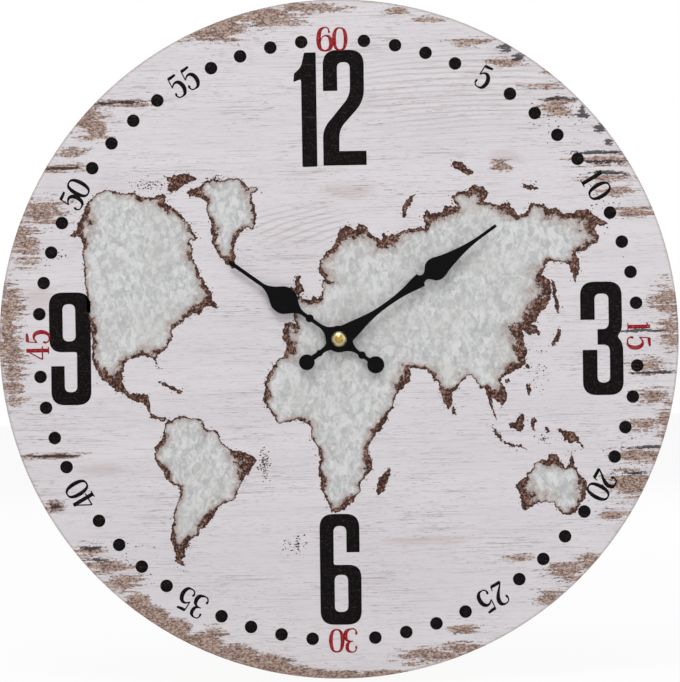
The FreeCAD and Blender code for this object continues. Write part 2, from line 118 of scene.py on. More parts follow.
class Tone:
    """A socket of a material that takes part in plain arithmetic."""

    def __init__(self, tree, socket=None):
        self.tree = tree
        self.socket = socket

    def node(self, kind, settings=None, values=None, output=0):
        made = self.tree.nodes.new("ShaderNode" + kind)
        for name, setting in (settings or {}).items():
            setattr(made, name, setting)
        for name, value in (values or {}).items():
            if isinstance(value, Tone):
                self.tree.links.new(value.socket, made.inputs[name])
            else:
                made.inputs[name].default_value = value
        return Tone(self.tree, made.outputs[output])

    __add__ = maths("ADD")
    __radd__ = maths("ADD", turned=True)
    __sub__ = maths("SUBTRACT")
    __rsub__ = maths("SUBTRACT", turned=True)
    __mul__ = maths("MULTIPLY")
    __truediv__ = maths("DIVIDE")
    least = maths("MINIMUM")
    most = maths("MAXIMUM")
    wave = maths("SINE")

    def between(self, low, high, start=0.0, end=1.0):
        """Goes smoothly from start to end as this goes from low to high."""
        return self.node(
            "MapRange",
            {"interpolation_type": "SMOOTHSTEP"},
            {0: self, 1: low, 2: high, 3: start, 4: end},
        )

    def mix(self, *colours):
        """The first colour where this is 0, the second where it is 1."""
        first, second = (shade(*one) if isinstance(one, tuple) else one for one in colours)
        return self.node("Mix", {"data_type": "RGBA"}, {0: self, 6: first, 7: second}, 2)

    def stretch(self, *factors):
        return self.node("VectorMath", {"operation": "MULTIPLY"}, {0: self, 1: factors})

    def length(self):
        return self.node("VectorMath", {"operation": "LENGTH"}, {0: self}, 1)

    def noise(self, scale, detail=3.0, rough=0.55, twist=0.0):
        shape = {"Scale": scale, "Detail": detail, "Roughness": rough, "Distortion": twist}
        return self.node("TexNoise", {}, {"Vector": self, **shape})


class Finish:
    """A material with one surface shader, whose colour and relief are worked out by Tones."""

    def __init__(self, name):
        self.material = bpy.data.materials.new(name)
        self.material.use_nodes = True
        tree = self.material.node_tree
        self.shader = tree.nodes["Principled BSDF"]
        self.start = Tone(tree)
        spot = self.start.node("TexCoord", output="Object")
        self.mm = spot.stretch(1000, 1000, 1000)

    def set(self, **sockets):
        for name, value in sockets.items():
            socket = self.shader.inputs[name.replace("_", " ")]
            if isinstance(value, Tone):
                self.start.tree.links.new(value.socket, socket)
            else:
                socket.default_value = value

    def relief(self, height, depth):
        """Raises the surface by depth metres where height is 1, and returns the material."""
        values = {"Height": height, "Distance": depth, "Strength": 1.0}
        self.set(Normal=self.start.node("Bump", {}, values))
        return self.material

    def radius(self):
        """The distance from the hands' axis in mm."""
        return self.mm.stretch(1, 0, 1).length()

    def axis(self, name):
        return self.start.node("SeparateXYZ", {}, {0: self.mm}, name)


# ---------------------------------------------------------------- finishes
# Where the paint is worn brown: place on the sketch, then half the width and half the height
WEAR = [
    (212, 32, 34, 12), (262, 17, 40, 10), (312, 7, 34, 7), (122, 104, 32, 4), (90, 122, 20, 18),
    (72, 152, 16, 5), (62, 167, 24, 5), (42, 212, 24, 14), (27, 243, 16, 20), (10, 310, 14, 26),
    (10, 350, 14, 30), (14, 386, 12, 18), (47, 457, 34, 4), (56, 505, 10, 7), (90, 550, 16, 7),
    (108, 565, 22, 9), (124, 583, 20, 8), (437, 655, 40, 8), (462, 648, 24, 6), (550, 598, 20, 7),
    (215, 632, 12, 5), (465, 629, 14, 5), (557, 107, 16, 10), (604, 160, 28, 6), (604, 178, 28, 5),
    (614, 191, 20, 4), (636, 212, 22, 6), (668, 300, 16, 16), (671, 330, 15, 20), (648, 365, 20, 8),
    (652, 395, 20, 8), (645, 425, 22, 7), (641, 455, 28, 7), (632, 484, 27, 15), (613, 514, 16, 5),
    (519, 558, 16, 4), (568, 572, 22, 10), (590, 562, 16, 8), (555, 72, 12, 5), (668, 425, 12, 24),
    (395, 10, 14, 4), (428, 20, 14, 4), (473, 42, 22, 4), (508, 62, 20, 4), (545, 86, 22, 3),
    (502, 166, 9, 6),
]
# Where it is gone altogether
BARE = [
    (138, 604, 14, 12), (152, 618, 18, 14), (172, 632, 20, 15), (200, 646, 24, 15), (232, 658, 28, 14),
    (266, 667, 28, 13), (300, 676, 30, 11), (340, 681, 34, 10), (386, 679, 32, 9), (631, 484, 19, 11),
    (638, 455, 20, 6), (610, 514, 12, 3.5), (96, 128, 12, 10), (226, 27, 20, 6), (268, 13, 22, 5),
    (8, 330, 6, 24),
]
# Dark chips and cracks
CHIPS = [
    (506, 47, 9, 5), (519, 57, 7, 5), (582, 112, 6, 9), (600, 128, 7, 6), (608, 142, 6, 5),
    (596, 152, 26, 2.5), (600, 162, 26, 2), (606, 173, 24, 2.5), (560, 98, 22, 2), (566, 82, 20, 1.6),
    (120, 103, 30, 1.8), (648, 447, 22, 1.8), (632, 473, 24, 2.2), (640, 330, 22, 1.8), (652, 372, 24, 1.8),
    (62, 168, 18, 1.6), (90, 548, 14, 2.2), (102, 560, 18, 2), (48, 456, 26, 1.6), (56, 506, 8, 3),
]
# Soft brown stains
KNOTS = [(505, 156, 20, 9), (350, 190, 30, 10), (40, 300, 18, 16), (100, 470, 30, 8), (430, 540, 50, 6)]
# Arched grain: where it shows, and the middle of its arches
ARCHES = [(450, 88, 125, 56), (300, 225, 60, 24)]
ARCH_MIDDLE = (500, 345)
# Where the board's rim begins, in mm from its middle
RIM = 169.6
# How much of the studio is mirrored by print, and by ink and black paint
PRINT_SHEEN = 0.2
BLACK_SHEEN = 0.05


def nearness(finish, spots, uneven, near=0.45, far=1.25):
    """1 inside the spots and 0 well outside them, with an edge that uneven makes ragged."""
    nearest = None
    for across, down, wide, high in spots:
        x, z = on_face_mm(across, down)
        size_x, size_z = 1 / (wide * SKETCH * 1000), 1 / (high * SKETCH * 1000)
        values = {0: finish.mm, 1: (size_x, 0, size_z), 2: (-x * size_x, 0, -z * size_z)}
        offset = finish.start.node("VectorMath", {"operation": "MULTIPLY_ADD"}, values)
        distance = offset.length()
        nearest = distance if nearest is None else nearest.least(distance)
    return (nearest + uneven).between(far, near)


def whitewashed_boards():
    """White paint with grain, arches and stains, worn along the rim, with painted shade in a brown band at
    its very edge.
    """
    made = Finish("whitewashed_boards")
    mm = made.mm
    cloud = mm.stretch(0.25, 1, 1).noise(0.05, 4)
    board = mm.stretch(0.05, 1, 1).noise(0.06, 2).between(0.35, 0.65)
    patches = mm.stretch(0.4, 1, 1).noise(0.045, 3).between(0.40, 0.66)
    dashes = mm.stretch(0.10, 1, 1.7).noise(1.9, 4, 0.68).between(0.585, 0.66)
    hairs = mm.stretch(0.022, 1, 2.2).noise(1.35, 3, 0.6).between(0.55, 0.66)
    x, z = on_face_mm(*ARCH_MIDDLE)
    arcs = mm.node("VectorMath", {"operation": "SUBTRACT"}, {0: mm, 1: (x, 0, z)})
    arcs = arcs.stretch(0.42, 0, 1).length()
    ripple = (arcs * 2.3 + mm.stretch(0.25, 1, 1).noise(0.045, 2) * 14).wave().between(0.1, 0.95)
    ripple = ripple * nearness(made, ARCHES, cloud * 0.8 - 0.4)
    colour = cloud.mix((219, 214, 218), (209, 204, 208))
    colour = (board * 0.35).mix(colour, (224, 220, 222))
    colour = (ripple * 0.40).mix(colour, (172, 163, 161))
    colour = (hairs * (0.20 + patches * 0.34)).mix(colour, (138, 124, 121))
    colour = (dashes * (0.25 + patches * 0.60)).mix(colour, (104, 86, 80))
    streaks = mm.stretch(0.11, 1, 1).noise(0.6, 5, 0.68)
    speckle = mm.stretch(0.45, 1, 1).noise(1.1, 5, 0.78)
    stain = nearness(made, KNOTS, streaks * 1.6 - 0.7)
    colour = (stain * 0.24).mix(colour, (170, 146, 138))
    uneven = (streaks - 0.5) * 4.2 + (speckle - 0.5) * 3.4
    wear = nearness(made, WEAR, uneven, 0.74, 0.98)
    uneven_bare = (streaks - 0.5) * 1.3 + (speckle - 0.5) * 1.3
    wear = wear.most(nearness(made, BARE, uneven_bare, 0.94, 1.02))
    tone = mm.stretch(0.55, 1, 1).noise(1.3, 5, 0.75)
    brown = tone.between(0.41, 0.49).mix((70, 44, 37), (146, 116, 101))
    brown = tone.between(0.50, 0.60).mix(brown, (188, 168, 155))
    colour = (wear * 0.92).mix(colour, brown)
    chips = nearness(made, CHIPS, uneven * 0.8, 0.72, 0.9)
    colour = (chips * 0.9).mix(colour, (44, 36, 40))
    pits = mm.stretch(0.4, 1, 1).noise(0.9, 3, 0.8).between(0.70, 0.73)
    colour = (pits * 0.55).mix(colour, (108, 82, 72))
    # Painted shade: a speckled brown band round the face's rim, standing in for the rim's shadow
    rim = (made.radius() + speckle * 2).between(RIM, RIM + 1.4)
    colour = (rim * 0.5).mix(colour, (140, 118, 106))
    made.set(Base_Color=colour, Roughness=wear.between(0, 1, 0.52, 0.72), Specular_IOR_Level=PRINT_SHEEN)
    return made.relief(dashes * -0.5 + hairs * -0.5 + wear * -0.8 + ripple * -0.4, 0.00005)


def rusted_zinc():
    """Mottled zinc that rusts near the coast, and where its mesh says so."""
    made = Finish("rusted_zinc")
    mm = made.mm
    coast = made.start.node("Attribute", {"attribute_name": "coast"}, output="Fac")
    rusty = made.start.node("Attribute", {"attribute_name": "rusty"}, output="Fac")
    values = {"Vector": mm.stretch(1, 0, 0.7), "Scale": 0.42, "Randomness": 1.0}
    spangle = made.start.node("TexVoronoi", {"feature": "F1"}, values, "Color")
    spangle = made.start.node("SeparateColor", {}, {0: spangle}, 0)
    fine = mm.noise(0.95, 5, 0.68)
    coarse = mm.noise(0.34, 4, 0.65)
    broad = mm.noise(0.05, 3)
    tone = spangle * 0.30 + mm.stretch(1, 1, 0.7).noise(0.36, 5, 0.62, 1.0) * 1.3 - 0.28
    metal = tone.between(0.22, 0.80).mix((177, 178, 179), (215, 216, 215))
    metal = (broad.between(0.40, 0.70) * 0.35).mix(metal, (192, 187, 186))
    metal = (fine.between(0.60, 0.70) * 0.40).mix(metal, (224, 224, 223))
    streaks = mm.stretch(0.10, 1, 1).noise(1.1, 4, 0.6).between(0.60, 0.70)
    metal = (streaks * 0.25).mix(metal, (158, 146, 140))
    blush = mm.stretch(0.7, 1, 1).noise(0.12, 5, 0.7).between(0.60, 0.72)
    metal = (blush * fine.between(0.40, 0.60) * 0.30).mix(metal, (160, 132, 124))
    width = 0.45 + mm.noise(0.12, 4, 0.6).between(0.38, 0.70) * 2.9 + rusty * 6.0
    reach = coast / width + (fine - 0.5) * 1.5 + (coarse - 0.5) * 2.2
    rust = reach.between(1.0, 0.62)
    haze = (coast / (width * 2.2 + 1.2) + (coarse - 0.5) * 1.8).between(1.05, 0.15)
    metal = (haze * 0.62).mix(metal, (148, 122, 112))
    grain = mm.noise(0.9, 5, 0.75)
    iron = grain.between(0.45, 0.53).mix((44, 27, 24), (96, 62, 50))
    iron = grain.between(0.54, 0.62).mix(iron, (164, 134, 120))
    edge = (coast + (fine - 0.5) * 1.2).between(0.75, 0.1)
    iron = (edge * 0.55).mix(iron, (56, 36, 32))
    made.set(Base_Color=rust.mix(metal, iron), Roughness=rust.between(0, 1, 0.45, 0.75))
    made.set(Specular_IOR_Level=PRINT_SHEEN)
    return made.relief(rust * 0.8 + fine * 0.3, 0.00004)


def printing_ink(name, dark, light, speck):
    made = Finish(name)
    worn = made.mm.noise(1.6, 5, 0.7)
    scratches = made.mm.stretch(0.12, 1, 1).noise(1.1, 4, 0.7).between(0.60, 0.70)
    colour = worn.between(0.35, 0.75).mix(dark, light)
    colour = (scratches * 0.35 + worn.between(0.57, 0.63) * 0.4).mix(colour, speck)
    made.set(Base_Color=colour, Roughness=worn.between(0.3, 0.7, 0.5, 0.66), Specular_IOR_Level=BLACK_SHEEN)
    return made.relief(worn * 0.4 - scratches * 0.6, 0.00003)


def satin_black():
    made = Finish("satin_black")
    grit = made.mm.noise(7, 3, 0.6)
    colour = made.mm.noise(0.3, 3).mix((5, 5, 7), (13, 12, 14))
    made.set(Base_Color=colour, Roughness=grit.between(0.3, 0.7, 0.36, 0.46), Specular_IOR_Level=BLACK_SHEEN)
    return made.relief(grit, 0.000012)


def turned_metal(name, middle, outer, edge, roughness):
    """Metal with fine turning marks round the hands' axis. The outer colour begins at edge mm."""
    made = Finish(name)
    radius = made.radius()
    marks = (radius * 26 + made.mm.noise(0.6, 2) * 2).wave()
    stain = made.mm.noise(0.9, 4, 0.6)
    colour = radius.between(edge - 0.15, edge + 0.15).mix(middle, outer)
    colour = (stain.between(0.45, 0.75) * 0.3).mix(colour, (120, 96, 60))
    made.set(Base_Color=colour, Metallic=1.0, Roughness=(marks * 0.04 + stain * 0.1) + roughness)
    return made.relief(marks, 0.000004)


def pressed_fibre():
    """Brown fibreboard: pale faces with fine fibres, the sawn edge darker."""
    made = Finish("pressed_fibre")
    fibres = made.mm.stretch(0.5, 1, 1).noise(2.2, 5, 0.7, 0.6)
    cloud = made.mm.noise(0.06, 3)
    colour = cloud.between(0.35, 0.65).mix((178, 144, 106), (150, 117, 83))
    shreds = made.mm.noise(0.45, 4, 0.7, 0.8)
    colour = (shreds.between(0.58, 0.66) * 0.5).mix(colour, (120, 90, 62))
    colour = (shreds.between(0.40, 0.34) * 0.4).mix(colour, (198, 168, 130))
    colour = (fibres.between(0.5, 0.68) * 0.45).mix(colour, (112, 82, 56))
    colour = (fibres.between(0.45, 0.30) * 0.35).mix(colour, (196, 166, 128))
    rim = made.radius().between(RIM, RIM + 0.35)
    sawn = made.mm.stretch(1, 3, 1).noise(0.9, 5, 0.7)
    edge = sawn.between(0.3, 0.7).mix((118, 86, 62), (158, 124, 92))
    colour = rim.mix(colour, edge)
    made.set(Base_Color=colour, Roughness=fibres.between(0.3, 0.7, 0.72, 0.9), Specular_IOR_Level=0.25)
    return made.relief(fibres, 0.00006)


def moulded(name, dark, light, roughness, grain=3.0):
    made = Finish(name)
    pores = made.mm.noise(grain, 4, 0.6)
    scuffs = made.mm.stretch(0.2, 1, 1).noise(0.5, 5, 0.7).between(0.6, 0.75)
    colour = made.mm.noise(0.12, 3).between(0.3, 0.7).mix(dark, light)
    made.set(Base_Color=colour, Roughness=pores * 0.12 + (roughness - scuffs * 0.1), Specular_IOR_Level=0.4)
    return made.relief(pores + scuffs * -0.3, 0.00002)


def plain_metal(name, colour, other, roughness):
    made = Finish(name)
    brushed = made.mm.stretch(0.15, 1, 1).noise(6, 3, 0.6)
    tint = made.mm.noise(0.5, 3).between(0.3, 0.7).mix(colour, other)
    made.set(Base_Color=tint, Metallic=1.0, Roughness=brushed * 0.15 + roughness)
    return made.relief(brushed, 0.000006)


def wound_copper():
    made = Finish("wound_copper")
    turns = (made.axis("X") * 31).wave()
    layer = made.mm.noise(0.8, 3)
    # Painted highlight on the crest of each turn of wire and painted shade in the groove between turns
    colour = turns.between(-0.8, 0.8).mix((112, 52, 30), (206, 118, 74))
    colour = (layer * 0.3).mix(colour, (150, 70, 44))
    made.set(Base_Color=colour, Metallic=0.7, Roughness=0.35)
    return made.relief(turns, 0.00004)


def battery_sleeve():
    """A plain sleeve in two colours, with bare steel at both ends."""
    made = Finish("battery_sleeve")
    along = made.axis("X")
    film = made.mm.noise(0.8, 3, 0.6)
    line_start, line_end, button_edge, base_edge = 11.0, 12.0, 23.6, -24.9
    sleeve = along.between(line_end - 0.2, line_end).mix((52, 62, 78), (196, 198, 200))
    line = along.between(line_start, line_start + 0.1)
    line = line * (1 - along.between(line_end, line_end + 0.1))
    sleeve = line.mix(sleeve, (226, 226, 226))
    button = along.between(button_edge, button_edge + 0.1)
    base = 1 - along.between(base_edge, base_edge + 0.1)
    ends = (button + base).least(1)
    steel = film.mix((196, 196, 194), (168, 168, 168))
    made.set(Base_Color=ends.mix(sleeve, steel), Metallic=ends)
    made.set(Roughness=ends.between(0, 1, 0.32, 0.28), Specular_IOR_Level=0.5)
    return made.relief(film, 0.00002)


def circuit_green():
    made = Finish("circuit_green")
    tracks = (made.axis("X") * 3.2).wave().most((made.axis("Z") * 2.1).wave()).between(0.86, 0.94)
    patches = made.mm.noise(0.35, 1).between(0.48, 0.52)
    colour = (tracks * patches).mix((24, 84, 54), (40, 122, 76))
    made.set(Base_Color=colour, Roughness=made.mm.noise(2, 3).between(0, 1, 0.28, 0.42))
    return made.relief(tracks * patches, 0.00003)


def dress(finish, *nodes):
    for node in nodes:
        for slot in solids[node].material_slots:
            slot.material = finish


set_up_camera()
BLACK_INK = printing_ink("black_ink", (8, 7, 9), (20, 17, 18), (92, 74, 66))
RED_INK = printing_ink("red_ink", (138, 22, 30), (166, 38, 44), (214, 170, 168))
ZINC = rusted_zinc()
dress(whitewashed_boards(), "printed_face")
dress(pressed_fibre(), "dial_board")
dress(satin_black(), "hour_hand", "minute_hand")
# The cap nut's paler outer ring, from 2.2 mm out, is a painted highlight on its domed edge
dress(turned_metal("cap_brass", (176, 146, 80), (190, 180, 142), 2.2, 0.2), "hand_nut")
BRASS = turned_metal("brass", (206, 168, 92), (198, 158, 84), 4.0, 0.22)
dress(BRASS, "threaded_bush", "fixing_nut", "dial_washer", "minute_arbor")
dress(moulded("rubber", (26, 26, 26), (38, 37, 36), 0.72), "rubber_washer")
dress(moulded("black_housing", (24, 24, 26), (32, 32, 34), 0.46), "front_case", "rear_cover", "motor_block")
dress(moulded("wheel_nylon", (226, 222, 210), (214, 208, 194), 0.4), "hour_wheel", "motion_wheel")
dress(moulded("knob_grey", (56, 57, 60), (66, 67, 70), 0.42), "setting_knob")
dress(moulded("bobbin_white", (222, 220, 212), (206, 204, 196), 0.45), "coil_bobbin")
dress(wound_copper(), "coil_winding")
dress(circuit_green(), "circuit_board")
dress(moulded("black_resin", (18, 18, 20), (28, 28, 30), 0.2, 0.6), "circuit_chip")
dress(plain_metal("sheet_steel", (176, 176, 174), (150, 151, 152), 0.3), "coil_core", "quartz_crystal")
dress(plain_metal("nickel", (208, 206, 198), (190, 186, 176), 0.24), "positive_contact", "negative_contact")
dress(battery_sleeve(), "battery")


# ---------------------------------------------------------------- making print
def deselect():
    bpy.ops.object.select_all(action="DESELECT")


def make_active(piece):
    deselect()
    piece.select_set(True)
    bpy.context.view_layer.objects.active = piece


def stand_up(piece, level=face_level, degrees=90):
    """Turns a flat mesh up from the ground plane against the face of the clock, or its back."""
    turn = Matrix.Translation((0, level, 0)) @ Matrix.Rotation(math.radians(degrees), 4, "X")
    piece.data.transform(turn)
    make_active(piece)
    bpy.ops.object.mode_set(mode="EDIT")
    bpy.ops.mesh.select_all(action="SELECT")
    bpy.ops.mesh.normals_make_consistent(inside=False)
    bpy.ops.object.mode_set(mode="OBJECT")


def printed(piece, finish):
    """Gives a piece its finish and fastens it to the clock's own body."""
    piece.data.materials.clear()
    piece.data.materials.append(finish)
    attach(piece, "clock")


SPLINE_ORDER = 3
SPLINE_STEPS = 6


def curve_piece(name, splines, **settings):
    """A mesh from splines. Each is its kind, its points (x, y, z, half width) and whether it closes."""
    data = bpy.data.curves.new(name, "CURVE")
    for setting, value in settings.items():
        setattr(data, setting, value)
    for kind, points, closed in splines:
        spline = data.splines.new(kind)
        spline.points.add(len(points) - 1)
        for knot, (x, y, z, half) in zip(spline.points, points):
            knot.co = (x, y, z, 1)
            knot.radius = half
            knot.tilt = math.radians(90)
        spline.use_cyclic_u = closed
        spline.use_endpoint_u = not closed
        spline.order_u = min(SPLINE_ORDER, len(points))
        spline.resolution_u = SPLINE_STEPS
    piece = place(name, data)
    make_active(piece)
    bpy.ops.object.convert(target="MESH")
    return bpy.context.view_layer.objects.active


def thicken(piece, thickness):
    solid = piece.modifiers.new("solid", "SOLIDIFY")
    solid.thickness = thickness
    solid.offset = 0
    make_active(piece)
    bpy.ops.object.modifier_apply(modifier="solid")


def pen_piece(name, splines):
    piece = curve_piece(name, splines, dimensions="3D", twist_mode="Z_UP", extrude=1)
    thicken(piece, 2 * INK)
    return piece


# ---------------------------------------------------------------- large numerals
# Corners on the sketch, each with the length that its round takes from both sides
LARGE = {
    "one": [
        [
            (304, 52.5, 1), (315.7, 52.2, 1), (317.5, 166.5, 1), (302.5, 167, 1), (301, 79, 2),
            (293.5, 82, 0.5), (294, 73.5, 1), (301, 67, 5),
        ],
    ],
    "two": [
        [
            (323, 91, 0.5), (322.5, 50, 15), (363.6, 49.5, 15), (364, 101, 12), (339.5, 129, 8),
            (339.5, 151, 0.3), (366.5, 150.6, 0.5), (366.8, 164.8, 0.5), (323.6, 165.6, 0.5), (323, 129, 9),
            (350, 95.5, 9), (349.6, 62, 6), (336.8, 62.2, 6), (337.4, 90.7, 0.5),
        ],
    ],
    "nine": [
        [
            (48.6, 292.6, 14), (90.4, 292.2, 14), (91.6, 404.8, 14), (51.6, 405.4, 14), (51.2, 366.2, 0.5),
            (64.6, 366, 0.5), (65, 392.2, 6), (77.4, 392, 6), (77, 352, 2), (49.6, 352.4, 13),
        ],
        [(62.4, 304.2, 6), (75, 304, 6), (75.8, 341.2, 6), (63, 341.4, 6)],
    ],
    "six": [
        [
            (333.8, 564.8, 2), (333.5, 526, 6), (346.2, 525.8, 6), (346.6, 552.2, 0.5), (359.7, 552, 0.5),
            (359.2, 513.6, 14), (319.4, 514, 14), (320.8, 624.8, 14), (361.9, 624.4, 14), (361.4, 564.6, 13),
        ],
        [(334.7, 574.8, 6), (348, 574.6, 6), (348.5, 611.6, 6), (335, 611.9, 6)],
    ],
    "three": [
        [
            (580.4, 319.8, 0.5), (579.9, 281.8, 14), (621.4, 281.2, 14), (622.2, 330, 9), (617, 336, 3),
            (623.2, 343, 9), (623.9, 394.6, 14), (583.2, 395.2, 14), (582.7, 349.9, 0.5), (597.4, 349.7, 0.5),
            (597.7, 382.5, 6), (610.2, 382.3, 6), (609.8, 344.6, 7), (597.7, 344.6, 0.5), (597.5, 329, 0.5),
            (608.8, 328.6, 7), (608.3, 293.4, 6), (594.4, 293.6, 6), (594.8, 319.6, 0.5),
        ],
    ],
}


# Rounds larger than SMALL_ROUND have more steps
SMALL_ROUND, SMALL_ROUND_STEPS, ROUND_STEPS = 3, 2, 8


def rounded(corners):
    """The outline through the corners, with each corner rounded."""
    points = []
    for index, (x, y, cut) in enumerate(corners):
        before, after = corners[index - 1], corners[(index + 1) % len(corners)]
        legs = []
        for other in (before, after):
            length = math.dist((x, y), other[:2])
            share = min(cut / length, 0.5)
            legs.append((x + (other[0] - x) * share, y + (other[1] - y) * share))
        steps = ROUND_STEPS if cut > SMALL_ROUND else SMALL_ROUND_STEPS
        for step in range(steps + 1):
            t = step / steps
            weights = ((1 - t) ** 2, 2 * t * (1 - t), t * t)
            spots = (legs[0], (x, y), legs[1])
            points.append(tuple(sum(w * spot[k] for w, spot in zip(weights, spots)) for k in (0, 1)))
    return points


def large_numeral(name, outlines):
    splines = []
    for outline in outlines:
        points = [(*on_face(*point), 0, 1) for point in rounded(outline)]
        splines.append(("POLY", points, True))
    piece = curve_piece("numeral_" + name, splines, dimensions="2D", fill_mode="BOTH", extrude=INK)
    stand_up(piece)
    printed(piece, BLACK_INK)


for name, outlines in LARGE.items():
    large_numeral(name, outlines)

# ---------------------------------------------------------------- minute numerals
# Pen strokes of each figure on a grid ten units high: (across, up, half the stroke's width)
PEN = {
    "0": [
        [
            (3, 10.1, 0.14), (5.0, 9.2, 0.42), (5.75, 5, 0.68), (5.0, 0.8, 0.42), (3, -0.1, 0.14),
            (1.0, 0.8, 0.42), (0.25, 5, 0.68), (1.0, 9.2, 0.42),
        ],
    ],
    "1": [
        [(3.2, 0.1, 0.6), (3.2, 9.9, 0.6)],
        [(1.4, 8.3, 0.14), (2.4, 8.7, 0.2), (3.3, 9.8, 0.2)],
        [(1.5, 0.14, 0.14), (4.9, 0.14, 0.14)],
    ],
    "2": [
        [
            (1.1, 7.2, 0.2), (0.9, 9.3, 0.2), (3.0, 10.3, 0.14), (5.2, 9.4, 0.6), (5.3, 7.0, 0.68),
            (4.0, 4.6, 0.5), (1.9, 2.3, 0.22), (0.6, 0.5, 0.14),
        ],
        [(0.6, 0.55, 0.5), (5.2, 0.55, 0.5)],
        [(5.15, 0.3, 0.16), (5.6, 2.3, 0.12)],
        [(0.75, 7.5, 0.1), (1.0, 7.5, 0.55), (1.6, 7.5, 0.55), (1.85, 7.5, 0.1)],
    ],
    "3": [
        [
            (1.1, 8.0, 0.2), (1.2, 9.7, 0.18), (3.1, 10.3, 0.14), (5.2, 9.4, 0.55), (5.1, 6.4, 0.55),
            (3.6, 5.3, 0.14), (2.4, 5.3, 0.12),
        ],
        [
            (2.4, 5.25, 0.12), (4.2, 5.5, 0.16), (5.9, 4.3, 0.6), (5.8, 0.9, 0.7), (3.4, -0.2, 0.16),
            (1.4, -0.1, 0.2), (0.8, 1.8, 0.2),
        ],
        [(0.7, 8.0, 0.1), (0.95, 8.0, 0.5), (1.45, 8.0, 0.5), (1.7, 8.0, 0.1)],
        [(0.6, 1.9, 0.1), (0.85, 1.9, 0.5), (1.35, 1.9, 0.5), (1.6, 1.9, 0.1)],
    ],
    "4": [
        [(4.3, 0.1, 0.6), (4.3, 10.0, 0.6)],
        [(4.2, 9.8, 0.16), (0.4, 3.0, 0.16)],
        [(0.3, 2.9, 0.18), (6.1, 2.9, 0.18)],
        [(2.8, 0.14, 0.14), (5.8, 0.14, 0.14)],
    ],
    "5": [
        [(1.5, 9.4, 0.5), (3.2, 9.3, 0.5), (5.2, 9.7, 0.3)],
        [(1.5, 9.7, 0.14), (1.2, 5.1, 0.14)],
        [
            (1.2, 5.1, 0.14), (2.4, 6.7, 0.2), (4.9, 6.4, 0.6), (6.0, 3.3, 0.7), (5.0, 0.2, 0.5),
            (3.0, -0.3, 0.15), (1.3, 0.1, 0.2), (0.9, 1.8, 0.2),
        ],
        [(0.7, 1.9, 0.1), (0.95, 1.9, 0.5), (1.45, 1.9, 0.5), (1.7, 1.9, 0.1)],
    ],
    "6": [
        [
            (5.0, 8.2, 0.2), (4.8, 9.9, 0.18), (3.2, 10.4, 0.14), (0.9, 9.2, 0.6), (0.2, 5.0, 0.75),
            (0.7, 0.8, 0.6), (3.0, -0.3, 0.14), (5.5, 0.6, 0.6), (6.0, 3.3, 0.68), (5.2, 6.2, 0.5),
            (3.1, 6.7, 0.14), (1.5, 5.6, 0.14), (1.0, 3.6, 0.2),
        ],
        [(4.5, 8.3, 0.1), (4.7, 8.3, 0.5), (5.2, 8.3, 0.5), (5.45, 8.3, 0.1)],
    ],
}
CLOSED_FIGURE = "0"
# The grid's unit in metres, then its height, the space before a figure and the whole step in units
FIGURE_UNIT = 0.00114
FIGURE_HEIGHT = 10
FIGURE_START = 0.2
FIGURE_STEP = 6.7
# A stroke's half width is PEN_WEIGHT times the one drawn, and PEN_LEAST units more
PEN_WEIGHT, PEN_LEAST = 1.3, 0.07
# The ring of minute numerals: its radius and its middle, in metres
RING = 0.1506
RING_MIDDLE = (-0.0004, -0.0004)


def minute_numeral(minute, finish):
    text = str(minute)
    turn = Matrix.Rotation(-math.radians(minute * MINUTE_DEGREES), 3, "Z")
    width = FIGURE_STEP * len(text) * FIGURE_UNIT
    splines = []
    for place_in_text, figure in enumerate(text):
        for points in PEN[figure]:
            level = len(splines) * STROKE_LIFT
            knots = []
            for x, y, half in points:
                across = (x + FIGURE_START + place_in_text * FIGURE_STEP) * FIGURE_UNIT - width / 2
                up = RING + (y - FIGURE_HEIGHT / 2) * FIGURE_UNIT
                spot = turn @ Vector((across, up, level))
                spot.x += RING_MIDDLE[0]
                spot.y += RING_MIDDLE[1]
                knots.append((*spot, (half * PEN_WEIGHT + PEN_LEAST) * FIGURE_UNIT))
            splines.append(("NURBS", knots, figure == CLOSED_FIGURE))
    piece = pen_piece("minute_numeral_" + text, splines)
    stand_up(piece)
    printed(piece, finish)


for minute in range(5, 65, 5):
    minute_numeral(minute, RED_INK if minute % 15 == 0 else BLACK_INK)

# ---------------------------------------------------------------- marks on the cover
# Lengths in metres. A pen, a head's foot and its tip are given by half their width.
SIGN_HALF, SIGN_PLACE, SIGN_GAP, SIGN_PEN = 0.0013, 0.0253, 0.0020, 0.00028
ARROW_RADIUS, ARROW_PEN, ARROW_HEAD, ARROW_FOOT, ARROW_TIP = 0.0088, 0.00025, 0.0022, 0.0010, 0.00005
ARROW_ANGLES = range(100, 176, 15)


